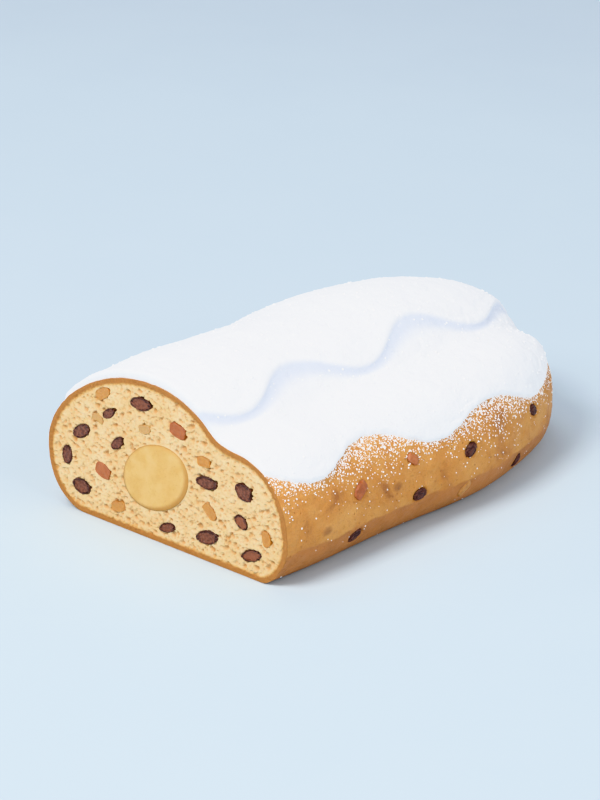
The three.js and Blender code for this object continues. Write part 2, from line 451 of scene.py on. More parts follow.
@dataclass(frozen=True)
class BakedBread(Finish):
    """Pale crumb where the knife went, browned crust round it, sugar dust below the coat."""

    name: str = "baked_bread"
    crumb: Tint = (234, 200, 146)
    # the colour of the crumb's fine flecks, and of the painted shade in its pores
    crumb_shade: Tint = (208, 154, 96)
    crumb_light: Tint = (241, 214, 167)
    rim: Tint = (178, 122, 66)
    rim_inner: Tint = (216, 170, 104)
    crust: Tint = (202, 139, 71)
    crust_light: Tint = (212, 155, 86)
    crust_dark: Tint = (164, 104, 56)
    base: Tint = (189, 125, 71)
    base_dark: Tint = (158, 98, 52)
    stain: Tint = (128, 74, 46)
    dust: Tint = (250, 248, 244)
    rim_width: float = 2.3
    rim_fade: float = 1.1
    base_height: float = 14.5
    base_sway: float = 4.0
    base_edge: float = 0.6
    base_cover: float = 0.88
    rim_ragged: float = 1.2
    dust_cover: float = 0.46

    def crumb_colour(self, recipe: Recipe) -> Socket:
        """The open crumb: a soft yellow, darker in the pores as painted shade, and browner towards the
        crust.

        Args:
            recipe: The material that gets the nodes.

        Returns:
            The colour.
        """
        blotch = recipe.mottle(9.0, 4, 0.6)
        fine = recipe.mottle(1.1, 3, 0.65)
        colour = recipe.blend(recipe.step(blotch, 0.35, 0.7), self.crumb, self.crumb_light)
        colour = recipe.blend(recipe.step(fine, 0.52, 0.78, 0.0, 0.5), colour, self.crumb_shade)
        # painted shade: the deeper a pore, the darker the crumb there
        deep = recipe.step(recipe.told("pore"), 0.1, 0.9, 0.0, 0.85)
        return recipe.blend(deep, colour, self.crumb_shade)

    def crust_colour(self, recipe: Recipe) -> Socket:
        """Browned crust, mottled, with a darker band along its foot, stains over hidden fruit and painted
        shade in its pits.

        Args:
            recipe: The material that gets the nodes.

        Returns:
            The colour.
        """
        blotch = recipe.mottle(16.0, 5, 0.62, 0.4)
        fine = recipe.mottle(1.6, 4, 0.7)
        colour = recipe.blend(recipe.step(blotch, 0.42, 0.68), self.crust, self.crust_light)
        colour = recipe.blend(recipe.step(blotch, 0.46, 0.26), colour, self.crust_dark)
        colour = recipe.blend(recipe.step(fine, 0.5, 0.8, 0.0, 0.55), colour, self.crust_dark)
        # painted shade: the small pits are darkened as well as sunk
        colour = recipe.blend(recipe.sum("MULTIPLY", self.pits(recipe), 0.6), colour, self.crust_dark)
        height = recipe.node("ShaderNodeSeparateXYZ", {0: recipe.place}).outputs["Z"]
        wander = recipe.scaled(
            recipe.mottle(14.0, 3), self.base_sway * MM, (self.base_height - self.base_sway / 2) * MM
        )
        above = recipe.sum("SUBTRACT", height, wander)
        foot = recipe.step(above, self.base_edge * MM, -self.base_edge * MM)
        bottom = recipe.blend(recipe.step(blotch, 0.4, 0.68, 0.0, 0.55), self.base, self.base_dark)
        bottom = recipe.blend(recipe.step(fine, 0.5, 0.8, 0.0, 0.4), bottom, self.base_dark)
        colour = recipe.blend(recipe.sum("MULTIPLY", foot, self.base_cover), colour, bottom)
        return recipe.blend(recipe.step(recipe.told("stain"), 0.1, 1.0, 0.0, 0.55), colour, self.stain)

    def pits(self, recipe: Recipe) -> Socket:
        """Small pits of the crust, in patches. The crust sinks them in its relief and darkens them as
        painted shade.
        """
        patches = recipe.step(recipe.mottle(7.0, 2), 0.42, 0.62)
        return recipe.sum("MULTIPLY", recipe.step(recipe.grains(1.9), 0.24, 0.08), patches)

    def mix(self, recipe: Recipe) -> None:
        """Lays crumb, rim, crust and dust over each other by depth under the skin.

        Args:
            recipe: The material that gets the nodes.
        """
        ragged = recipe.scaled(recipe.mottle(2.4, 3), self.rim_ragged, -self.rim_ragged / 2)
        depth = recipe.sum("ADD", recipe.told("depth"), ragged)
        crumb = self.crumb_colour(recipe)
        fade = recipe.step(depth, self.rim_width, self.rim_width + self.rim_fade)
        inner = recipe.blend(fade, self.rim_inner, crumb)
        rim = recipe.blend(recipe.step(depth, self.rim_width - 0.5, self.rim_width + 0.4), self.rim, inner)
        cut = recipe.step(recipe.told("depth"), -0.6, -0.1)
        bare = recipe.blend(cut, self.crust_colour(recipe), rim)
        powder = recipe.mottle(0.75, 2, 0.8)
        cover = recipe.sum("SUBTRACT", 1.0, recipe.sum("MULTIPLY", self.dust_cover, recipe.told("dust")))
        powdered = recipe.step(recipe.sum("SUBTRACT", powder, cover), -0.03, 0.05)
        dusty = recipe.sum("MULTIPLY", powdered, recipe.sum("SUBTRACT", 1.0, cut))
        recipe.link(recipe.blend(dusty, bare, self.dust), "Base Color")
        crust_rough = recipe.step(recipe.mottle(5.0, 3), 0.3, 0.7, 0.5, 0.68)
        skin_rough = recipe.between(cut, crust_rough, 0.82)
        recipe.link(recipe.between(dusty, skin_rough, 0.95), "Roughness")
        coarse = recipe.bump(recipe.mottle(1.5, 5, 0.65), 0.55)
        pitted = recipe.bump(self.pits(recipe), -0.25, coarse)
        fine = recipe.bump(recipe.mottle(0.4, 3, 0.65), 0.14, pitted)
        recipe.link(recipe.bump(dusty, 0.12, fine), "Normal")
        recipe.constant(Subsurface_Weight=0.12, Subsurface_Radius=(1.0, 0.55, 0.3), Subsurface_Scale=0.0016)


@dataclass(frozen=True)
class AlmondPaste(Finish):
    """Marzipan: golden, fine-grained, a little oily, darker at its rim, with painted shade widening that
    rim on the lower right.
    """

    name: str = "almond_paste"
    paste: Tint = (213, 172, 102)
    paste_light: Tint = (221, 185, 120)
    rim: Tint = (186, 136, 70)
    speck: Tint = (190, 142, 76)

    def mix(self, recipe: Recipe) -> None:
        """Grains of almond in a smooth paste.

        Args:
            recipe: The material that gets the nodes.
        """
        colour = recipe.blend(recipe.step(recipe.mottle(6.0, 4), 0.35, 0.7), self.paste, self.paste_light)
        grain = recipe.step(recipe.mottle(0.9, 3, 0.7), 0.58, 0.74, 0.0, 0.6)
        colour = recipe.blend(grain, colour, self.speck)
        # the rim attribute is the paste's own darker rim, plus painted shade towards the lower right
        colour = recipe.blend(recipe.step(recipe.told("rim"), 0.0, 0.9, 0.0, 0.9), colour, self.rim)
        recipe.link(colour, "Base Color")
        recipe.link(recipe.step(recipe.mottle(2.0, 2), 0.3, 0.7, 0.5, 0.66), "Roughness")
        coarse = recipe.bump(recipe.mottle(1.6, 3), 0.16)
        recipe.link(recipe.bump(recipe.mottle(0.4, 2), 0.06, coarse), "Normal")
        recipe.constant(Subsurface_Weight=0.2, Subsurface_Radius=(1.0, 0.6, 0.3), Subsurface_Scale=0.002)


@dataclass(frozen=True)
class IcingSugar(Finish):
    """Dry white powder, packed thick, with a cool painted shade along the drift by the fold."""

    name: str = "icing_sugar"
    white: Tint = (252, 252, 253)
    painted_drift_shade: Tint = (228, 233, 244)

    def mix(self, recipe: Recipe) -> None:
        """Fine powder, with coarser crumbs here and there.

        Args:
            recipe: The material that gets the nodes.
        """
        # painted shade: the drift attribute tints the hollow of the drift by the fold a cool blue-grey
        recipe.link(recipe.blend(recipe.told("drift"), self.white, self.painted_drift_shade), "Base Color")
        crumbs = recipe.step(recipe.grains(0.9), 0.42, 0.12)
        sparse = recipe.step(recipe.mottle(4.0, 2), 0.5, 0.66)
        soft = recipe.bump(recipe.mottle(1.7, 4, 0.6), 0.34)
        coarse = recipe.bump(recipe.sum("MULTIPLY", crumbs, sparse), 0.22, soft)
        recipe.link(recipe.bump(recipe.mottle(0.3, 2, 0.7), 0.09, coarse), "Normal")
        recipe.constant(
            Roughness=0.95, Specular_IOR_Level=0.25, Subsurface_Weight=0.25,
            Subsurface_Radius=(1.0, 1.0, 1.0), Subsurface_Scale=0.0012,
        )


@dataclass(frozen=True)
class SugarGrain(Finish):
    """The loose grains of icing sugar."""

    name: str = "sugar_grain"
    white: Tint = (252, 252, 252)
    warm: Tint = (248, 244, 238)

    def mix(self, recipe: Recipe) -> None:
        """White, with a little of the crust's warmth in some grains.

        Args:
            recipe: The material that gets the nodes.
        """
        tone = recipe.step(recipe.mottle(0.8, 2), 0.45, 0.75, 0.0, 0.6)
        recipe.link(recipe.blend(tone, self.white, self.warm), "Base Color")
        recipe.link(recipe.bump(recipe.mottle(0.2, 2), 0.05), "Normal")
        recipe.constant(Roughness=0.9, Specular_IOR_Level=0.3)


@dataclass(frozen=True)
class DriedFruit(Finish):
    """Raisin: a dark, wrinkled skin, and brown flesh where it is cut."""

    name: str = "raisin"
    skin: Tint = (62, 34, 31)
    worn_and_ridge_light: Tint = (98, 58, 47)
    flesh: Tint = (134, 84, 63)
    flesh_dark: Tint = (94, 54, 43)
    ruddy: Tint = (152, 90, 60)
    gloss: float = 0.34

    def mix(self, recipe: Recipe) -> None:
        """Skin lighter on its ridges and darker in its folds as painted light and shade, flesh mottled,
        both a little moist.

        Args:
            recipe: The material that gets the nodes.
        """
        # painted light and shade: the skin is lighter on the ridges of its wrinkles and darker in their
        # folds
        skin = recipe.blend(recipe.step(recipe.told("ridge"), 0.35, 1.0), self.skin, self.worn_and_ridge_light)
        worn = recipe.step(recipe.mottle(2.2, 3), 0.5, 0.75, 0.0, 0.5)
        skin = recipe.blend(worn, skin, self.worn_and_ridge_light)
        pulp = recipe.step(recipe.mottle(1.2, 3, 0.6), 0.4, 0.62)
        flesh = recipe.blend(pulp, self.flesh_dark, self.flesh)
        flesh = recipe.blend(recipe.sum("MULTIPLY", recipe.told("paleness"), 0.8), flesh, self.ruddy)
        cut = recipe.step(recipe.told("flesh"), 0.35, 0.85)
        recipe.link(recipe.blend(cut, skin, flesh), "Base Color")
        sheen = recipe.step(recipe.mottle(1.4, 2), 0.3, 0.7, self.gloss, self.gloss + 0.22)
        recipe.link(sheen, "Roughness")
        recipe.link(recipe.bump(recipe.mottle(0.5, 3), 0.12), "Normal")
        recipe.constant(Subsurface_Weight=0.08, Subsurface_Radius=(1.0, 0.3, 0.15), Subsurface_Scale=0.001)


@dataclass(frozen=True)
class CandiedPeel(Finish):
    """Candied peel: clear, sugary flesh that deepens towards its rind."""

    name: str = "peel"
    flesh: Tint = (196, 122, 78)
    deep: Tint = (170, 92, 52)
    pale: Tint = (214, 150, 104)

    def mix(self, recipe: Recipe) -> None:
        """Moist flesh, paler in the middle of a cut.

        Args:
            recipe: The material that gets the nodes.
        """
        colour = recipe.blend(recipe.step(recipe.mottle(1.8, 3), 0.35, 0.68), self.deep, self.flesh)
        cut = recipe.step(recipe.told("flesh"), 0.3, 1.0, 0.0, 0.55)
        colour = recipe.blend(cut, colour, self.flesh)
        colour = recipe.blend(recipe.told("paleness"), colour, self.pale)
        recipe.link(colour, "Base Color")
        recipe.link(recipe.step(recipe.mottle(1.2, 2), 0.3, 0.7, 0.3, 0.46), "Roughness")
        recipe.link(recipe.bump(recipe.mottle(0.6, 3), 0.1), "Normal")
        recipe.constant(Subsurface_Weight=0.35, Subsurface_Radius=(1.0, 0.5, 0.2), Subsurface_Scale=0.0018)


@dataclass(frozen=True)
class PaleTable(Finish):
    """The plain floor under the stollen."""

    name: str = "pale_table"
    pale: Tint = (199, 213, 223)
    paler: Tint = (204, 217, 226)

    def mix(self, recipe: Recipe) -> None:
        """One matt colour, with the faintest unevenness.

        Args:
            recipe: The material that gets the nodes.
        """
        tone = recipe.step(recipe.mottle(60.0, 3), 0.3, 0.7, 0.0, 0.25)
        recipe.link(recipe.blend(tone, self.pale, self.paler), "Base Color")
        recipe.constant(Roughness=0.9, Specular_IOR_Level=0.2)


# ---- the baked form ------------------------------------------------------------------------


@dataclass(frozen=True)
class Knot:
    """A point of the cut face's outline: the heading there, and how far the curve holds it."""

    x: float
    z: float
    heading: float
    before: float
    after: float


@dataclass(frozen=True)
class Fall:
    """How one half size of the outline falls off between a start and the baked end."""

    start: float
    power: float


@dataclass(frozen=True)
class LoafForm:
    """The loaf's skin: an outline that shrinks along the loaf to a rounded end."""

    length: float = 206.0
    waist_x: float = 62.0
    waist_z: float = 20.0
    knots: tuple[Knot, ...] = (
        Knot(20.0, 0.0, 0.0, 10.0, 8.0),
        Knot(118.0, 0.0, 0.0, 8.0, 6.0),
        Knot(132.0, 18.0, 90.0, 9.0, 17.0),
        Knot(108.5, 49.5, 174.0, 15.0, 6.0),
        Knot(93.5, 52.5, 150.0, 5.0, 6.0),
        Knot(57.0, 66.0, 180.0, 26.0, 26.0),
        Knot(0.0, 23.0, -90.0, 24.0, 13.0),
    )
    across: Fall = Fall(95.0, 2.3)
    above: Fall = Fall(120.0, 2.4)
    below: Fall = Fall(182.0, 2.2)
    swell: float = 0.012
    swell_pitch: float = 92.0
    tip: float = 0.012
    curve_steps: int = 120

    @cached_property
    def outline(self) -> np.ndarray:
        """Rows of arc, X and Z round the cut face, from the left end of the underside.

        Returns:
            The rows.
        """
        rows: list[Vector] = []
        for here, there in zip(self.knots, self.knots[1:] + self.knots[:1]):
            start, end = Vector((here.x, here.z)), Vector((there.x, there.z))
            leave, arrive = (
                Vector((math.cos(math.radians(k.heading)), math.sin(math.radians(k.heading))))
                for k in (here, there)
            )
            curve = interpolate_bezier(
                start, start + leave * here.after, end - arrive * there.before, end, self.curve_steps
            )
            rows.extend(curve[:-1])
        rows.append(rows[0])
        places = np.array([tuple(r)[:2] for r in rows])
        arcs = np.concatenate(([0.0], np.cumsum(np.linalg.norm(np.diff(places, axis=0), axis=1))))
        return np.column_stack((arcs, places))

    @cached_property
    def girth(self) -> float:
        """The length of the outline."""
        return float(self.outline[-1, 0])

    @cached_property
    def crown(self) -> float:
        """The arc of the outline's highest point."""
        return float(self.outline[self.outline[:, 2].argmax(), 0])

    def share(self, fall: Fall, y: np.ndarray) -> np.ndarray:
        """What is left of a half size at distance y."""
        into = np.clip((y - fall.start) / (self.length - fall.start), 0.0, 1.0)
        return np.maximum(self.tip, (1.0 - into**fall.power) ** (1.0 / fall.power))

    def skin(self, arcs: np.ndarray, y: np.ndarray) -> np.ndarray:
        """Points of the skin.

        Args:
            arcs: Where they are round the outline.
            y: How far from the cut they are.

        Returns:
            The points, X, Y and Z on the last axis.
        """
        arcs, y = np.broadcast_arrays(arcs, y)
        table = self.outline
        turn = np.mod(arcs, self.girth)
        dx = np.interp(turn, table[:, 0], table[:, 1]) - self.waist_x
        dz = np.interp(turn, table[:, 0], table[:, 2]) - self.waist_z
        swell = 1.0 + self.swell * np.sin(2 * np.pi * y / self.swell_pitch)
        tall = np.where(dz > 0, self.share(self.above, y) * swell, self.share(self.below, y))
        wide = self.share(self.across, y) * swell
        return np.stack((self.waist_x + dx * wide, y + 0.0, self.waist_z + dz * tall), axis=-1)

    def normal(self, arcs: np.ndarray, y: np.ndarray) -> np.ndarray:
        """Outward directions, square to the skin, for the same arguments as skin().

        Args:
            arcs: Where they are round the outline.
            y: How far from the cut they are.

        Returns:
            The directions.
        """
        arcs, y = np.broadcast_arrays(arcs, y)
        reach = np.clip((self.length - y) * 0.3, 0.002, 0.4)
        round_it = self.skin(arcs + 0.4, y) - self.skin(arcs - 0.4, y)
        along_it = self.skin(arcs, np.minimum(y + reach, self.length)) - self.skin(arcs, y - reach)
        square = np.cross(along_it, round_it)
        return square / np.maximum(np.linalg.norm(square, axis=-1, keepdims=True), 1e-9)

    def walk(self, arc: float, end: float, steps: Callable[[float], np.ndarray]) -> np.ndarray:
        """Distances from the cut that are spread along a line of the skin.

        Args:
            arc: Which line of the skin.
            end: The distance from the cut where it stops.
            steps: Gives the positions along the line from its whole length.

        Returns:
            The distances from the cut.
        """
        fine = end * np.sin(np.linspace(0.0, np.pi / 2, 4000))
        line = self.skin(np.full_like(fine, arc), fine)
        walked = np.concatenate(([0.0], np.cumsum(np.linalg.norm(np.diff(line, axis=0), axis=1))))
        return np.interp(steps(float(walked[-1])), walked, fine)

    def arc_at(self, side: "Side", height: np.ndarray, y: np.ndarray) -> np.ndarray:
        """The arc where the skin reaches a height, on one side of the crown.

        Args:
            side: Which side.
            height: The height.
            y: The distance from the cut.

        Returns:
            The arc, or the crown's where the skin there is lower than that.
        """
        swell = 1.0 + self.swell * np.sin(2 * np.pi * y / self.swell_pitch)
        rise = height - self.waist_z
        tall = np.where(rise > 0, self.share(self.above, y) * swell, self.share(self.below, y))
        branch = self.branch(side)
        return np.interp(self.waist_z + rise / tall, branch[:, 2], branch[:, 0])

    def branch(self, side: "Side") -> np.ndarray:
        """The outline's rows on one side, from the foot up to the crown.

        Args:
            side: Which side.

        Returns:
            The rows of arc, X and Z.
        """
        arcs = self.outline[:, 0]
        if side is Side.LEFT:
            return self.outline[arcs > self.crown][::-1]
        foot_end = self.knots[1].x - self.knots[0].x
        return self.outline[(arcs <= self.crown) & (arcs >= foot_end)]


class Side(Enum):
    """The two long sides of the loaf, seen from the cut."""

    RIGHT = "right"
    LEFT = "left"


@dataclass(frozen=True)
class Hem:
    """The sugar's lower edge on one side: it waves, and falls a little along the loaf."""

    crest: float
    pitch: float
    start: float = 44.0
    slope: float = 0.05
    wave: float = 4.5
    flat: float = 0.24  # how much of the wave the rounded top of a notch loses

    def height(self, y: np.ndarray) -> np.ndarray:
        """The edge's height at distance y from the cut."""
        notch = self.notch(y)
        return self.start - self.slope * y + self.wave * (notch - self.flat * np.maximum(notch, 0.0) ** 2)

    def notch(self, y: np.ndarray) -> np.ndarray:
        """1 in the middle of a notch of the edge, and -1 in the middle of a sag."""
        return np.cos(2 * np.pi * (y - self.crest) / self.pitch)


@dataclass(frozen=True)
class SugarLine:
    """The sugar's lower edge all round the loaf."""

    right: Hem = Hem(56.0, 70.0)
    left: Hem = Hem(73.0, 62.0)
    meet: tuple[float, float] = (140.0, 190.0)
    ragged: float = 0.4

    def share_right(self, side: Side, y: np.ndarray) -> np.ndarray:
        """How far a side follows the right edge: the left one joins it round the baked end."""
        return np.ones_like(y) if side is Side.RIGHT else smooth(*self.meet, y)

    def height(self, side: Side, y: np.ndarray) -> np.ndarray:
        """The edge's height on a side at distance y from the cut."""
        share = self.share_right(side, y)
        return share * self.right.height(y) + (1 - share) * self.left.height(y)

    def notch(self, side: Side, y: np.ndarray) -> np.ndarray:
        """From -1 in a sag to 1 in a notch, on a side at distance y."""
        share = self.share_right(side, y)
        return share * self.right.notch(y) + (1 - share) * self.left.notch(y)

    def above(self, points: np.ndarray, on_right: np.ndarray) -> np.ndarray:
        """How far points of the skin lie above the edge, with its crumbly unevenness.

        Args:
            points: Points of the plain form.
            on_right: Which of them are on the right side.

        Returns:
            The heights, below 0 under the edge.
        """
        y = points[..., 1]
        height = np.where(on_right, self.height(Side.RIGHT, y), self.height(Side.LEFT, y))
        uneven = waves(points, 5.0, 3.1) + 0.6 * waves(points, 2.1, 8.3)
        return points[..., 2] - height - self.ragged * uneven


# ---- fruit seats ---------------------------------------------------------------------------


class FruitKind(Enum):
    """The kinds of fruit, as the start of their nodes' names."""

    RAISIN = "raisin"
    ORANGE = "orange_peel"
    LEMON = "lemon_peel"


@dataclass
class Seat:
    """Where a piece of fruit sits, with its half sizes along its own axes."""

    node: str
    kind: FruitKind
    cut: bool
    centre: np.ndarray
    along: np.ndarray
    over: np.ndarray
    out: np.ndarray
    half: np.ndarray

    def spread(self, points: np.ndarray) -> np.ndarray:
        """How far out points lie on the fruit's footprint: 1 on its edge."""
        away = points - self.centre
        return np.hypot(away @ self.along / self.half[0], away @ self.over / self.half[1])

    def near(self, points: np.ndarray, reach: float = 9.0) -> np.ndarray:
        """Which points lie close enough to feel the fruit."""
        return np.linalg.norm(points - self.centre, axis=-1) < reach


@dataclass
class FruitBasket:
    """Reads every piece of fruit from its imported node."""

    form: LoafForm
    facet_loss: float = 0.96  # a faceted piece is this much smaller than its round one
    cut_back: float = 0.8  # a cut piece's middle behind the knife's plane
    cut_depth: float = 2.6
    crust_depth: float = 2.4
    net_step: float = 1.5

    def crust_net(self) -> tuple[KDTree, np.ndarray]:
        """A coarse net of the skin for looking up the nearest place, and its normals.

        Returns:
            The tree of places, and the normals in the same order.
        """
        round_it = np.arange(0, self.form.girth, self.net_step)
        along_it = np.arange(1.0, self.form.length - 0.5, self.net_step)
        arcs, y = np.meshgrid(round_it, along_it)
        points = self.form.skin(arcs, y).reshape(-1, 3)
        tree = KDTree(len(points))
        for i, point in enumerate(points):
            tree.insert(point, i)
        tree.balance()
        return tree, self.form.normal(arcs, y).reshape(-1, 3)

    def seat(self, node: str, kind: FruitKind, tree: KDTree, normals: np.ndarray) -> Seat:
        """Finds a piece's middle, axes and sizes.

        Args:
            node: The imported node's name.
            kind: The kind of fruit.
            tree: The skin's places.
            normals: The skin's normals, in the same order.

        Returns:
            The seat.
        """
        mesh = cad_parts[node].data
        points = np.array([v.co for v in mesh.vertices]) / MM - np.array(ORIGIN)
        low, high = points.min(axis=0), points.max(axis=0)
        cut = bool(low[1] < 0.05)
        centre = (low + high) / 2
        out = np.array((0.0, -1.0, 0.0))
        if cut:
            centre[1] = self.cut_back
        else:
            out = normals[tree.find(centre)[1]]
        flat = (points - centre) - np.outer((points - centre) @ out, out)
        _, axes = np.linalg.eigh(flat.T @ flat)
        along = axes[:, -1]
        over = np.cross(out, along)
        depth = self.cut_depth if cut else self.crust_depth
        half = np.array((np.ptp(flat @ along) / 2, np.ptp(flat @ over) / 2, depth))
        half[:2] /= self.facet_loss
        return Seat(node, kind, cut, centre, along, over, out, half)

    def seats(self) -> list[Seat]:
        """Every piece of fruit, in the order of their names."""
        tree, normals = self.crust_net()
        return [
            self.seat(node, kind, tree, normals)
            for kind in FruitKind
            for node in sorted(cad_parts)
            if node.startswith(kind.value)
        ]


# ---- the bread -----------------------------------------------------------------------------


@dataclass
class CrustRelief:
    """The unevenness of the baked skin, and how it closes round the fruit."""

    seats: list[Seat]
    broad: float = 0.55
    middle: float = 0.26
    fine: float = 0.13
    lip: float = 0.28
    dip: float = 2.2
    hidden: tuple[tuple[float, float, float], ...] = ((131.5, 22.0, 19.0), (129.5, 64.0, 24.0))
    hidden_reach: float = 3.4

    def height(self, points: np.ndarray, normals: np.ndarray) -> np.ndarray:
        """How far the baked skin stands off the plain form.

        Args:
            points: Points of the plain form.
            normals: Its outward normals there.

        Returns:
            The height at each point, below 0 where it sinks in.
        """
        rise = self.broad * waves(points, 27.0, 1.3) + self.middle * waves(points, 8.5, 5.2)
        rise += self.fine * waves(points, 2.9, 9.7, octaves=3)
        puckers = np.abs(waves(points * np.array((1.0, 0.45, 1.0)), 6.0, 14.2))
        rise -= 0.32 * smooth(0.16, 0.0, puckers) * smooth(-0.1, 0.25, waves(points, 21.0, 17.9))
        rise += 0.3 * self.stain(points)
        for seat in self.seats:
            if not seat.cut:
                rise += self.round_fruit(seat, points)
        return rise * smooth(-0.92, -0.55, normals[..., 2])

    def round_fruit(self, seat: Seat, points: np.ndarray) -> np.ndarray:
        """The swelling of the crust round a piece, and the dip that it sits in.

        Args:
            seat: Where the piece sits.
            points: Points of the plain form.

        Returns:
            What it adds to the height at each point.
        """
        near = seat.near(points)
        ring = np.where(near, seat.spread(points), 9.0)
        swelling = self.lip * np.exp(-(((ring - 1.3) / 0.24) ** 2))
        return swelling - self.dip * smooth(0.98, 0.72, ring)

    def stain(self, points: np.ndarray) -> np.ndarray:
        """1 over a piece of fruit that lies just under the skin, and 0 away from it.

        Args:
            points: Points of the plain form.

        Returns:
            The strength at each point.
        """
        shade = np.zeros(points.shape[:-1])
        for spot in self.hidden:
            away = np.linalg.norm((points - np.array(spot)) * np.array((0.6, 0.75, 1.1)), axis=-1)
            shade = np.maximum(shade, smooth(self.hidden_reach, 0.8, away))
        return shade


@dataclass(frozen=True)
class Pores:
    """One size of hole in the crumb: how far apart they are, and radii as shares of that."""

    spacing: float
    smallest: float
    largest: float
    seed: float


@dataclass
class Crumb:
    """The open crumb that the knife shows."""

    seats: list[Seat]
    pores_of: tuple[Pores, ...] = (
        Pores(5.2, 0.10, 0.34, 3.0),
        Pores(2.7, 0.18, 0.52, 0.0),
        Pores(1.5, 0.28, 0.60, 7.0),
    )
    deepest: float = 1.5
    fine_depth: float = 0.16
    rim: float = 2.4
    socket: float = 2.0
    gap: float = 0.3

    def pores(self, points: np.ndarray) -> np.ndarray:
        """How deep the crumb's holes are at each point, in millimetres.

        Args:
            points: Points of the cut.

        Returns:
            The depths.
        """
        bend = np.stack([waves(points, 2.4, seed) for seed in (2.0, 6.0, 11.0)], axis=-1)
        bent = (points + 0.7 * bend) * np.array((1.0, 1.0, 1.18))
        depth = np.zeros(len(points))
        for kind in self.pores_of:
            for i, point in enumerate((bent / kind.spacing + kind.seed).tolist()):
                away, middles = noise.voronoi(point)
                chance = abs(noise.cell(middles[0] * 7.31 + Vector((0.5, 0.5, 0.5))))
                radius = kind.smallest + (kind.largest - kind.smallest) * chance
                if away[0] < radius:
                    depth[i] = max(depth[i], kind.spacing * math.sqrt(radius**2 - away[0] ** 2))
        return np.minimum(depth, self.deepest)

    def carve(self, net: Sequence[BMVert], rind: Callable[[float, float], float], bm: BMesh) -> None:
        """Opens the pores, and lets the crumb down round each piece of fruit.

        Args:
            net: The vertices of the cut.
            rind: Gives the depth under the skin at X and Z.
            bm: The bmesh that holds them, with layers for what its finish reads.
        """
        depth_layer, pore_layer = (bm.verts.layers.float[name] for name in ("depth", "pore"))
        points = np.array([v.co for v in net])
        rinds = np.array([rind(v.co.x, v.co.z) for v in net])
        pores = self.pores(points) * smooth(0.9, self.rim + 1.4, rinds)
        low = pores + self.fine_depth * waves(points, 0.9, 4.4, octaves=2) + 0.14 * waves(points, 6.0, 1.9)
        for seat in self.seats:
            if seat.cut:
                ring = seat.spread(points)
                edge = (ring - 1.0) * float(seat.half[:2].mean())
                low += self.socket * smooth(0.0, -0.9, edge) + self.gap * np.exp(-((edge / 0.4) ** 2))
        low *= smooth(0.0, 0.5, rinds)
        for vert, down, rind_depth, pore in zip(net, low, rinds, pores):
            vert.co.y = down
            vert[depth_layer] = rind_depth
            # the pore's depth, kept for the painted shade in the crumb's colour
            vert[pore_layer] = pore / self.deepest


@dataclass
class Rope:
    """The marzipan rope: an oval with a rounded inner end, and the cavity that it lies in."""

    x: float = ROPE_MIDDLE
    z: float = 27.0
    across: float = 19.2
    up: float = 13.4
    tilt: float = math.radians(26.0)
    length: float = 174.0
    nose: float = 22.0
    slices: int = 16

    def oval(self, y: float, share: float, growth: float, count: int) -> np.ndarray:
        """One ring of the rope.

        Args:
            y: Its distance from the cut.
            share: Its size as a share of the full one.
            growth: How much larger it is made all round.
            count: How many points it has.

        Returns:
            The points.
        """
        turn = np.linspace(0, 2 * np.pi, count, endpoint=False)
        long = (self.across * share + growth) * np.cos(turn)
        short = (self.up * share + growth) * np.sin(turn)
        x = self.x + long * math.cos(self.tilt) - short * math.sin(self.tilt)
        z = self.z + long * math.sin(self.tilt) + short * math.cos(self.tilt)
        return np.column_stack((x, np.full(count, y), z))

    def run(self, bm: BMesh, ring: Sequence[BMVert], growth: float) -> None:
        """Extrudes a ring at the cut along the rope, and closes it at the inner end.

        Args:
            bm: The bmesh that holds the ring.
            ring: The ring at the cut.
            growth: How much larger it is made all round.
        """
        straight = self.length - self.nose
        for y in np.linspace(straight / 6, straight, 6):
            ring = next_ring(bm, ring, self.oval(y, 1.0, growth, len(ring)))
        for turn in np.linspace(0.0, math.pi / 2, self.slices)[1:]:
            y = straight + (self.nose + growth) * math.sin(turn)
            share = max(0.02, math.cos(turn))
            ring = next_ring(bm, ring, self.oval(y, share, growth * share, len(ring)))
        close_point(bm, ring)

    def inside(self, x: float, z: float) -> float:
        """How far a point of the cut lies inside the rope's edge, below 0 outside.

        Args:
            x: X of the point.
            z: Z of the point.

        Returns:
            The distance.
        """
        long = (x - self.x) * math.cos(self.tilt) + (z - self.z) * math.sin(self.tilt)
        short = (z - self.z) * math.cos(self.tilt) - (x - self.x) * math.sin(self.tilt)
        spread = math.hypot(long / self.across, short / self.up)
        return (1.0 - spread) * (self.across + self.up) / 2


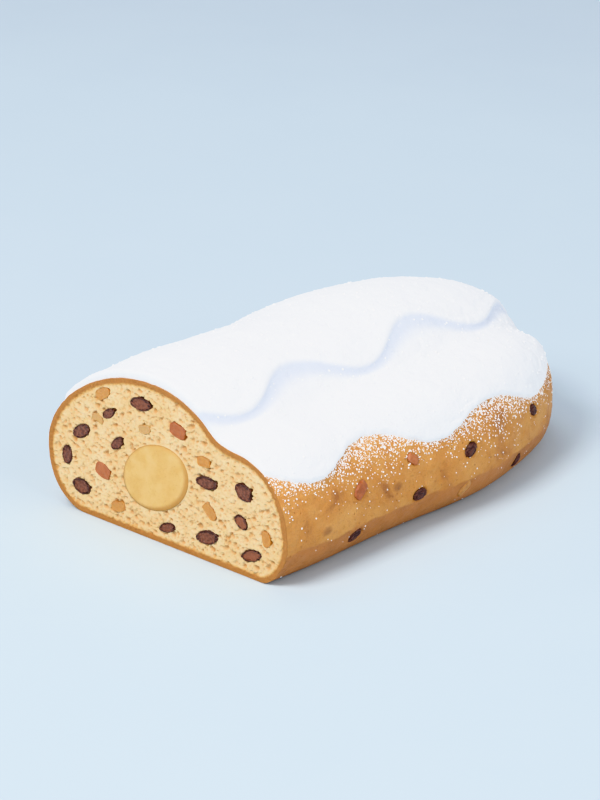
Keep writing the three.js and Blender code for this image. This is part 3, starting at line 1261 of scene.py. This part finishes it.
@dataclass
class Bread:
    """The loaf: one closed skin, the knife's cut across it and the rope's cavity."""

    form: LoafForm
    line: SugarLine
    relief: CrustRelief
    crumb: Crumb
    rope: Rope
    finish: Finish = BakedBread()
    net: KnifeNet = KnifeNet(0.37, 0.65)
    cavity_gap: float = 0.06
    cavity_count: int = 120
    side_step: float = 0.86
    top_step: float = 2.1  # the crust under the sugar, which stays out of sight
    foot_step: float = 2.9
    along_step: float = 1.14
    dust_reach: tuple[float, float] = (1.3, 4.4)
    walk_height: float = 22.0
    tip_gap: float = 0.02
    hidden_above: dict[Side, float] = field(default_factory=lambda: {Side.RIGHT: 50.5, Side.LEFT: 51.5})

    def arcs(self) -> np.ndarray:
        """Places round the outline: close together on the sides, further apart elsewhere.

        Returns:
            The arcs.
        """
        foot = self.form.knots[1].x - self.form.knots[0].x
        right, left = (
            float(self.form.arc_at(side, np.array(height), np.array(0.0)))
            for side, height in self.hidden_above.items()
        )
        bounds = (0.0, foot, right, left, self.form.girth)
        steps = (self.foot_step, self.side_step, self.top_step, self.side_step)
        spans = [
            start + even_steps(end - start, step)[:-1]
            for start, end, step in zip(bounds, bounds[1:], steps)
        ]
        return np.concatenate(spans)

    def dust(self, points: np.ndarray, on_right: np.ndarray) -> np.ndarray:
        """How thickly sugar dust lies on the skin: 1 at the coat's edge, thinning downwards.

        Args:
            points: Points of the plain form.
            on_right: Which of them are on the right side.

        Returns:
            The strength at each point.
        """
        below = np.maximum(0.0, -self.line.above(points, on_right))
        y = points[..., 1]
        notch = np.where(on_right, self.line.notch(Side.RIGHT, y), self.line.notch(Side.LEFT, y))
        reach = np.interp(notch, (-1.0, 1.0), self.dust_reach)
        return np.exp(-below / reach)

    def rind(self) -> Callable[[float, float], float]:
        """A function that gives how deep a point of the cut lies under the skin.

        Returns:
            The function, for X and Z.
        """
        arcs = np.arange(0.0, self.form.girth, 0.25)
        edge = self.form.skin(arcs, np.zeros_like(arcs))
        outward = self.form.normal(arcs, np.zeros_like(arcs))
        tree = KDTree(len(edge))
        for i, point in enumerate(edge):
            tree.insert(point, i)
        tree.balance()

        def depth(x: float, z: float) -> float:
            """Depth under the skin at X and Z, below 0 outside it.

            Args:
                x: X of the point.
                z: Z of the point.

            Returns:
                The depth.
            """
            place, index, away = tree.find((x, 0.0, z))
            aside = (x - place.x) * outward[index][0] + (z - place.z) * outward[index][2]
            return -math.copysign(away, aside)

        return depth

    def build(self) -> bpy.types.Object:
        """Models the loaf and dresses it.

        Returns:
            The piece.
        """
        bm = bmesh.new()
        bm.verts.layers.int.new("order")
        for name in ("depth", "pore", "dust", "stain"):
            bm.verts.layers.float.new(name)
        arcs = self.arcs()
        side_line = float(self.form.arc_at(Side.RIGHT, np.array(self.walk_height), np.array(0.0)))
        end = self.form.length - self.tip_gap
        y = self.form.walk(side_line, end, lambda total: even_steps(total, self.along_step))
        grid_arcs, grid_y = np.meshgrid(arcs, y)
        plain = self.form.skin(grid_arcs, grid_y)
        normals = self.form.normal(grid_arcs, grid_y)
        normals[0, :, 1] = 0.0
        places = plain + normals * self.relief.height(plain, normals)[..., None]
        places[..., 2] = np.maximum(places[..., 2], 0.0)
        on_right = grid_arcs < self.form.crown
        dust, stain = self.dust(plain, on_right), self.relief.stain(plain)
        ring = start_ring(bm, places[0])
        cut_ring = ring
        layers = [bm.verts.layers.float[name] for name in ("depth", "dust", "stain")]
        for i, points in enumerate(places):
            ring = ring if i == 0 else next_ring(bm, ring, points)
            for j, vert in enumerate(ring):
                for layer, value in zip(layers, (-1.0 if i else 0.0, dust[i, j], stain[i, j])):
                    vert[layer] = value
        close_point(bm, ring)
        mouth = start_ring(bm, self.rope.oval(0.0, 1.0, self.cavity_gap, self.cavity_count))
        for vert in mouth:
            vert[layers[0]] = 10.0
        rind = self.rind()

        def inside(x: float, z: float) -> float:
            """How far a point of the cut lies inside the crumb's borders."""
            return min(rind(x, z), -self.rope.inside(x, z) - self.cavity_gap + self.net.margin / 2)

        net = self.net.lay(bm, [cut_ring, mouth], inside)
        self.crumb.carve(net, rind, bm)
        for edge in ring_edges(cut_ring) + ring_edges(mouth):
            edge.smooth = False
        self.rope.run(bm, mouth, self.cavity_gap)
        return serve(bm, "bread", self.finish, ["loaf"])


@dataclass
class Marzipan:
    """The rope of marzipan, with a slightly raised, smeared cut."""

    rope: Rope
    finish: Finish = AlmondPaste()
    net: KnifeNet = KnifeNet(0.4, 0.3)
    count: int = 120
    proud: float = 0.28
    rim_width: float = 2.0

    def build(self) -> bpy.types.Object:
        """Models the rope and dresses it.

        Returns:
            The piece.
        """
        bm = bmesh.new()
        bm.verts.layers.int.new("order")
        rim = bm.verts.layers.float.new("rim")
        edge = start_ring(bm, self.rope.oval(0.0, 1.0, 0.0, self.count))
        net = self.net.lay(bm, [edge], self.rope.inside)
        points = np.array([v.co for v in net])
        depths = np.array([self.rope.inside(v.co.x, v.co.z) for v in net])
        relief = 0.10 * waves(points, 5.0, 2.2, octaves=2) + 0.05 * waves(points, 1.1, 5.1, octaves=2)
        smear = 0.05 * waves(points * np.array((1.0, 1.0, 0.2)), 1.6, 7.7)
        # painted shade: the rim grows darker and wider towards the lower right of the cut; the rest of the
        # rim is the paste's own colour
        off_middle = (points[:, 0] - self.rope.x) - (points[:, 2] - self.rope.z)
        painted_shade_low_right = smooth(-0.2, 1.0, off_middle * 0.7 / 14)
        for vert, depth, rough, side in zip(net, depths, relief + smear, painted_shade_low_right):
            rise = float(smooth(0.0, 1.4, depth))
            vert.co.y = -self.proud * rise + rough * rise
            fade = 1.0 - float(smooth(0.3, self.rim_width * (1 + side), depth))
            vert[rim] = fade * (0.45 + 0.55 * side)
        for vert in edge:
            vert[rim] = 1.0
        self.rope.run(bm, edge, 0.0)
        return serve(bm, "marzipan", self.finish, ["marzipan_core"])


# ---- fruit ---------------------------------------------------------------------------------


@dataclass
class Fruit:
    """One piece of fruit, cut by the knife or standing out of the crust."""

    seat: Seat
    finish: Finish
    fineness: int = 5
    boxiness: float = 0.62
    wrinkle: float = 0.15
    plump: float = 0.62
    bend: float = 0.0
    proud: float = 0.14
    dice: random.Random = field(default_factory=random.Random)

    def swollen(self, ball: np.ndarray, seed: float) -> tuple[np.ndarray, np.ndarray]:
        """Shapes a unit ball into the fruit.

        Args:
            ball: The ball's points.
            seed: Makes each piece different.

        Returns:
            The points as shares of the half sizes, and how far each stands on a ridge.
        """
        if self.seat.kind is FruitKind.RAISIN:
            lumps = 0.09 * waves(ball, 0.9, seed)
            folds = np.abs(waves(ball * np.array((0.75, 1.5, 1.5)), 0.62, seed + 5))
            fine = np.abs(waves(ball * np.array((0.9, 1.6, 1.6)), 0.3, seed + 9))
            groove = smooth(0.24, 0.0, folds) + 0.45 * smooth(0.2, 0.0, fine)
            # the ridge value is kept for the painted light and shade of the raisin's skin
            return ball * (1.05 + lumps - self.wrinkle * groove)[:, None], 1.0 - np.clip(groove, 0, 1)
        boxed = np.sign(ball) * np.abs(ball) ** self.boxiness
        boxed[:, 1] += self.bend * (0.5 - boxed[:, 0] ** 2)
        lumps = 0.10 * waves(ball, 0.8, seed) + 0.04 * waves(ball, 0.35, seed + 3)
        return boxed * (1.0 + lumps)[:, None], np.ones(len(ball))

    def build(self) -> bpy.types.Object:
        """Models the piece and dresses it.

        Returns:
            The piece.
        """
        bm = bmesh.new()
        layers = [bm.verts.layers.float.new(name) for name in ("flesh", "ridge", "paleness")]
        bmesh.ops.create_icosphere(bm, subdivisions=self.fineness, radius=1.0)
        seed = self.dice.uniform(0.0, 50.0)
        verts = list(bm.verts)
        shares, ridges = self.swollen(np.array([v.co for v in verts]), seed)
        if not self.seat.cut:
            shares[:, 2] = np.sign(shares[:, 2]) * np.abs(shares[:, 2]) ** self.plump
        axes = np.stack((self.seat.along, self.seat.over, self.seat.out))
        points = self.seat.centre + (shares * self.seat.half) @ axes
        paleness = PALE.get(self.seat.node, self.dice.choice((0.0, 0.1, 0.2, 0.35)))
        flesh = np.zeros(len(verts))
        if self.seat.cut:
            over = -self.proud - points[:, 1]
            flesh = np.where(over > 0, smooth(0.1, 0.85, over), 0.0)
            face = -self.proud + 0.12 * waves(points, 1.1, seed, octaves=2) + 0.16 * smooth(0.1, 0.9, over)
            points[:, 1] = np.where(over > 0, face, points[:, 1])
        for vert, point, cut, ridge in zip(verts, points, flesh, ridges):
            vert.co = point
            for layer, value in zip(layers, (cut, ridge, paleness)):
                vert[layer] = value
        name = f"{self.seat.node}_fruit"
        return serve(bm, name, self.finish, [self.seat.node])


# ---- icing sugar ---------------------------------------------------------------------------


@dataclass
class SugarCoat:
    """The thick coat: a closed shell over the crown, with a soft edge and a drift by the fold."""

    form: LoafForm
    line: SugarLine
    relief: CrustRelief
    finish: Finish = IcingSugar()
    crown: float = 3.5
    edge: float = 1.7
    rise: float = 20.0
    roundness: float = 1.5
    sunk: float = 0.5
    bedded: float = 0.9
    margin: float = 1.3
    shelf: float = 165.5  # the arc of the lower fold's top, which the right edge never passes
    step: float = 0.72
    hem_step: float = 0.26
    hem_band: float = 4.5
    inner_step: float = 4.0
    set_back: float = 0.3
    front: tuple[float, ...] = (0.0, 0.08, 0.25, 0.5, 0.9, 1.4)
    drift_middle: tuple[float, float] = (188.5, 5.2)
    drift_width: tuple[float, float] = (7.5, 2.6)
    drift_crest: float = 54.0
    drift_pitch: float = 70.0
    drift_depth: float = 1.1

    def banded(self, total: float, both: bool = True) -> np.ndarray:
        """Positions along a length, close together at its hem ends.

        Args:
            total: The length.
            both: Whether both of its ends are hems, or only the last.

        Returns:
            The positions.
        """
        fine = np.arange(0.0, self.hem_band, self.hem_step)
        middle = self.hem_band + even_steps(total - (2 if both else 1) * self.hem_band, self.step)
        if both:
            return np.concatenate((fine, middle, total - fine[::-1]))
        return np.concatenate((middle - self.hem_band, total - fine[::-1]))

    def drift(self, arcs: np.ndarray, y: np.ndarray) -> np.ndarray:
        """Where a point lies across the drift by the fold: 0 at its foot and 1 at its brow.

        Args:
            arcs: Where the points are round the outline.
            y: How far from the cut they are.

        Returns:
            The share of the way across, below 0 and above 1 outside the drift.
        """
        sway = np.cos(2 * np.pi * (y - self.drift_crest) / self.drift_pitch)
        middle = self.drift_middle[0] + self.drift_middle[1] * sway
        width = self.drift_width[0] + self.drift_width[1] * sway
        return (arcs - middle) / width + 0.5

    def shade(self, arcs: np.ndarray, y: np.ndarray) -> np.ndarray:
        """How deep in the drift's hollow a point is, from 0 to 1. It sinks the coat there and sets the
        sugar's painted shade.
        """
        across = self.drift(arcs, y)
        return smooth(-0.15, 0.75, across) * smooth(1.18, 0.92, across)

    def thickness(self, arcs: np.ndarray, y: np.ndarray, points: np.ndarray) -> np.ndarray:
        """How far the sugar stands off the crust.

        Args:
            arcs: Where the points are round the outline.
            y: How far from the cut they are.
            points: The points of the plain form.

        Returns:
            The thickness, below 0 under the sugar's edge.
        """
        above = self.line.above(points, arcs < self.form.crown)
        full = self.edge + (self.crown - self.edge) * smooth(0.0, self.rise, above)
        full = full + 0.42 * waves(points, 30.0, 21.0) + 0.26 * waves(points, 11.0, 27.0)
        full += 0.13 * waves(points, 3.4, 33.0, octaves=3) + 0.05 * waves(points, 1.3, 39.0)
        across = self.drift(arcs, y)
        brow = 0.5 * np.exp(-(((across - 1.35) / 0.45) ** 2))
        full += brow - self.drift_depth * self.shade(arcs, y)
        into = np.clip(above / self.roundness, 0.0, 1.0)
        rounded = np.sqrt(np.maximum(0.0, 1.0 - (1.0 - into) ** 2))
        front = np.clip((y - self.set_back) / 1.6, 0.0, 1.0)
        worn = 0.45 + 0.55 * np.sqrt(np.maximum(0.0, 1.0 - (1.0 - front) ** 2))
        return (full + self.sunk) * rounded * worn - self.sunk

    def build(self) -> bpy.types.Object:
        """Models the coat and dresses it.

        Returns:
            The piece.
        """
        bm = bmesh.new()
        bm.verts.layers.int.new("order")
        shade_layer = bm.verts.layers.float.new("drift")
        stations = self.stations()
        width = self.top_width(0.0)
        outer_share = self.banded(width) / width
        inner_share = np.linspace(1.0, 0.0, round(width / self.inner_step))
        right, left = self.limits(stations)
        shares = np.concatenate((outer_share, inner_share))
        arcs = right[:, None] + (left - right)[:, None] * shares
        y = np.repeat(stations[:, None], arcs.shape[1], axis=1)
        plain, normals = self.form.skin(arcs, y), self.form.normal(arcs, y)
        out = self.thickness(arcs, y, plain) + self.relief.height(plain, normals)
        out[:, len(outer_share) :] = -self.bedded
        normals[: len(self.front), :, 1] = 0.0
        places = plain + normals * out[..., None]
        # painted shade: how deep each point lies in the drift's hollow, kept as the drift attribute
        shade = self.shade(arcs, y)
        ring = start_ring(bm, places[0])
        first = ring
        for i, points in enumerate(places):
            ring = ring if i == 0 else next_ring(bm, ring, points)
            for vert, value in zip(ring, shade[i]):
                vert[shade_layer] = value
        close_point(bm, ring)
        bmesh.ops.triangle_fill(
            bm, use_beauty=True, use_dissolve=False, edges=ring_edges(first), normal=Vector((0, -1, 0))
        )
        return serve(bm, "icing_sugar", self.finish, ["sugar_coat"])

    def stations(self) -> np.ndarray:
        """Distances from the cut of the coat's rings, as far as the crown stands above its edge.

        Returns:
            The distances.
        """
        crown_y = np.linspace(0.0, self.form.length, 4000)
        top = self.form.skin(np.full_like(crown_y, self.form.crown), crown_y)[:, 2]
        covered = top > self.line.height(Side.RIGHT, crown_y) - self.margin
        end = float(crown_y[covered].max())
        front = np.array(self.front) + self.set_back
        body = self.form.walk(self.form.crown, end, lambda total: self.banded(total, both=False))
        return np.concatenate((front, body[body > front[-1] + self.step / 2]))

    def scatter(self, count: int, dice: random.Random) -> tuple[np.ndarray, np.ndarray]:
        """Chooses places on the coat for small clumps.

        Args:
            count: How many there are.
            dice: Where the chances come from.

        Returns:
            The places and the outward directions there.
        """
        y = np.array([dice.uniform(3.0, 0.93 * self.form.length) for _ in range(count)])
        right, left = self.limits(y)
        across = np.array([dice.uniform(0.03, 0.97) for _ in range(count)])
        arcs = right + (left - right) * across
        plain, normals = self.form.skin(arcs, y), self.form.normal(arcs, y)
        out = self.thickness(arcs, y, plain) + self.relief.height(plain, normals)
        return plain + normals * out[:, None], normals

    def limits(self, y: np.ndarray) -> tuple[np.ndarray, np.ndarray]:
        """The arcs just below the sugar's edge on the right and on the left at distance y."""
        right, left = (
            self.form.arc_at(side, self.line.height(side, y) - self.margin, y)
            for side in (Side.RIGHT, Side.LEFT)
        )
        return np.minimum(right, self.shelf), left

    def top_width(self, y: float) -> float:
        """The coat's width over the crown at distance y."""
        right, left = self.limits(np.array([y]))
        return float(left[0] - right[0])


@dataclass
class Dusting:
    """Loose grains of sugar on the crust below the coat, thickest in the notches of its edge."""

    form: LoafForm
    line: SugarLine
    relief: CrustRelief
    coat: SugarCoat
    finish: Finish = SugarGrain()
    grains: dict[Side, int] = field(default_factory=lambda: {Side.RIGHT: 3900, Side.LEFT: 3300})
    reach: tuple[float, float] = (1.5, 4.6)
    sizes: tuple[float, float] = (0.16, 0.42)
    far_share: float = 0.12
    far_reach: float = 9.0
    in_sags: float = 0.34  # the chance of a grain under a sag, against 1 in a notch
    overlap: float = 0.3
    clumps: int = 1100
    clump_sizes: tuple[float, float] = (0.2, 0.62)
    crown_gap: float = 0.02  # a height nearer the crown than this has no skin of its own
    batch: int = 120

    def spots(self, side: Side, count: int, dice: random.Random) -> tuple[np.ndarray, np.ndarray]:
        """Chooses where the grains of one side lie.

        Args:
            side: Which side.
            count: How many there are.
            dice: Where the chances come from.

        Returns:
            The arcs and the distances from the cut.
        """
        end = self.form.length - 1.0
        fine = self.form.walk(self.form.crown, end, lambda total: even_steps(total, 0.5))
        y, below = [], []
        while len(y) < count:
            there = float(np.interp(dice.random() * (len(fine) - 1), np.arange(len(fine)), fine))
            notch = float(self.line.notch(side, np.array(there)))
            if dice.random() > self.in_sags + (1.0 - self.in_sags) * (0.5 + 0.5 * notch):
                continue
            reach = float(np.interp(notch, (-1.0, 1.0), self.reach))
            far = dice.random() < self.far_share
            y.append(there)
            below.append(dice.expovariate(1.0 / (self.far_reach if far else reach)) - self.overlap)
        y, below = np.array(y), np.array(below)
        height = np.maximum(self.line.height(side, y) - below, 3.0)
        crown_height = self.form.skin(np.full_like(y, self.form.crown), y)[:, 2]
        on_skin = height < crown_height - self.crown_gap
        return self.form.arc_at(side, height, y)[on_skin], y[on_skin]

    def build(self) -> bpy.types.Object:
        """Models the grains and dresses them.

        Returns:
            The piece.
        """
        dice = random.Random(24)
        found = [self.spots(side, count, dice) for side, count in self.grains.items()]
        arcs, y = (np.concatenate(parts) for parts in zip(*found))
        plain, normals = self.form.skin(arcs, y), self.form.normal(arcs, y)
        places = plain + normals * self.relief.height(plain, normals)[:, None]
        on_coat, coat_normals = self.coat.scatter(self.clumps, dice)
        places = np.concatenate((places, on_coat))
        normals = np.concatenate((normals, coat_normals))
        ranges = [self.sizes] * len(plain) + [self.clump_sizes] * len(on_coat)
        whole = bmesh.new()
        for start in range(0, len(places), self.batch):
            bm = bmesh.new()
            part = slice(start, start + self.batch)
            for place, normal, sizes in zip(places[part], normals[part], ranges[part]):
                self.add_grain(bm, Vector(place), Vector(normal), sizes, dice)
            handful = bpy.data.meshes.new("handful")
            bm.to_mesh(handful)
            bm.free()
            whole.from_mesh(handful)
            bpy.data.meshes.remove(handful)
        return serve(whole, "sugar_grains", self.finish, [])

    def add_grain(
        self, bm: BMesh, place: Vector, normal: Vector, sizes: tuple[float, float], dice: random.Random
    ) -> None:
        """Lays one grain down.

        Args:
            bm: The bmesh that gets it.
            place: Where it lies on the crust.
            normal: The crust's direction there.
            sizes: Its smallest and largest half size.
            dice: Where the chances come from.
        """
        size = sizes[0] + (sizes[1] - sizes[0]) * dice.random() ** 2.2
        stretch = (size * dice.uniform(0.8, 1.4), size, size * dice.uniform(0.5, 0.9), 1.0)
        lean = normal.to_track_quat("Z", "Y").to_matrix().to_4x4()
        spin = Matrix.Rotation(dice.uniform(0, math.pi), 4, "Z")
        matrix = Matrix.Translation(place) @ lean @ spin @ Matrix.Diagonal(stretch)
        bmesh.ops.create_icosphere(bm, subdivisions=1, radius=1.0, matrix=matrix)


# ---- studio --------------------------------------------------------------------------------


@dataclass(frozen=True)
class Lamp:
    """A large soft lamp: where it stands seen from the stollen, its size and its power."""

    name: str
    azimuth: float
    elevation: float
    distance: float
    size: float
    power: float
    tint: tuple[float, float, float]


@dataclass
class Studio:
    """The pale floor, the soft lamps and the camera."""

    azimuth: float = 43.5
    elevation: float = 22.0
    distance: float = 1.7
    sensor: float = 36.0
    view_height: float = 0.326
    aside: float = -0.018
    drop: float = 0.004
    floor_size: float = 8.0
    floor_gap: float = 0.0001
    sky: tuple[float, float, float] = (0.86, 0.91, 1.0)
    sky_strength: float = 0.64
    lamps: tuple[Lamp, ...] = (
        Lamp("key", 0.0, 46.0, 1.3, 0.6, 13.6, (1.0, 0.97, 0.93)),
        Lamp("fill", 86.0, 30.0, 1.5, 0.9, 8.5, (1.0, 0.98, 0.96)),
        Lamp("top", 250.0, 62.0, 1.4, 0.8, 3.5, (0.95, 0.97, 1.0)),
    )

    def towards(self, azimuth: float, elevation: float) -> Vector:
        """The direction of a stand, seen from the stollen."""
        turn, lift = math.radians(azimuth), math.radians(elevation)
        return Vector((math.sin(turn) * math.cos(lift), -math.cos(turn) * math.cos(lift), math.sin(lift)))

    def lay_floor(self) -> None:
        """Lays the floor, which isn't part of the stollen."""
        bm = bmesh.new()
        bmesh.ops.create_grid(bm, x_segments=1, y_segments=1, size=self.floor_size / 2)
        bmesh.ops.translate(bm, verts=bm.verts, vec=(0, 0, -self.floor_gap))
        mesh = bpy.data.meshes.new("floor")
        bm.to_mesh(mesh)
        bm.free()
        mesh.materials.append(PaleTable().material)
        floor = bpy.data.objects.new("floor", mesh)
        bpy.context.scene.collection.objects.link(floor)

    def hang_lamps(self, middle: Vector) -> None:
        """Hangs the lamps round the stollen, and lights the air.

        Args:
            middle: What the lamps point at.
        """
        for lamp in self.lamps:
            light = bpy.data.lights.new(lamp.name, "AREA")
            light.shape = "DISK"
            light.size = lamp.size
            light.energy = lamp.power
            light.color = lamp.tint
            stand = bpy.data.objects.new(lamp.name, light)
            back = self.towards(lamp.azimuth, lamp.elevation)
            stand.location = middle + back * lamp.distance
            stand.rotation_euler = back.to_track_quat("Z", "Y").to_euler()
            bpy.context.scene.collection.objects.link(stand)
        world = bpy.data.worlds.new("air")
        world.use_nodes = True
        world.node_tree.nodes["Background"].inputs["Color"].default_value = (*self.sky, 1.0)
        world.node_tree.nodes["Background"].inputs["Strength"].default_value = self.sky_strength
        bpy.context.scene.world = world

    def set_camera(self, middle: Vector) -> None:
        """Sets the camera up.

        Args:
            middle: What it looks at.
        """
        lens = bpy.data.cameras.new("camera")
        lens.sensor_width = self.sensor
        lens.lens = self.sensor * self.distance / self.view_height
        camera = bpy.data.objects.new("camera", lens)
        back = self.towards(self.azimuth, self.elevation)
        right = Vector((0.0, 0.0, 1.0)).cross(back).normalized()
        camera.location = middle + right * self.aside + back * self.distance
        camera.rotation_euler = back.to_track_quat("Z", "Y").to_euler()
        bpy.context.scene.collection.objects.link(camera)
        bpy.context.scene.camera = camera

    def build(self) -> None:
        """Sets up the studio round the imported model's box."""
        low, high = CAD_BOX
        middle = (low + high) / 2 - Vector((0.0, 0.0, self.drop))
        self.lay_floor()
        self.hang_lamps(middle)
        self.set_camera(middle)
        bpy.context.scene.view_settings.view_transform = "Khronos PBR Neutral"


FRUIT_FINISHES: dict[FruitKind, Finish] = {
    FruitKind.RAISIN: DriedFruit(),
    FruitKind.ORANGE: CandiedPeel("orange_peel", (178, 104, 62), (154, 82, 46), (196, 130, 84)),
    FruitKind.LEMON: CandiedPeel("lemon_peel", (202, 144, 76), (180, 120, 58), (200, 160, 104)),
}
PALE: dict[str, float] = {
    "raisin_11": 0.9,
    "raisin_12": 0.8,
    "lemon_peel_02": 0.9,
    "lemon_peel_03": 0.8,
    "orange_peel_04": 0.5,
}
BENDS: dict[str, float] = {"lemon_peel_03": -0.75, "lemon_peel_02": 0.25, "lemon_peel_05": 0.2}


def main() -> None:
    """Builds the stollen, piece by piece, and the studio round it."""
    logging.basicConfig(level=logging.INFO, format="%(message)s")
    Studio().build()
    form, line = LoafForm(), SugarLine()
    seats = FruitBasket(form).seats()
    relief = CrustRelief(seats)
    rope = Rope()
    Bread(form, line, relief, Crumb(seats), rope).build()
    Marzipan(rope).build()
    for number, seat in enumerate(seats):
        bend = BENDS.get(seat.node, 0.0)
        Fruit(seat, FRUIT_FINISHES[seat.kind], bend=bend, dice=random.Random(number)).build()
    coat = SugarCoat(form, line, relief)
    coat.build()
    Dusting(form, line, relief, coat).build()


if __name__ == "__main__":
    main()
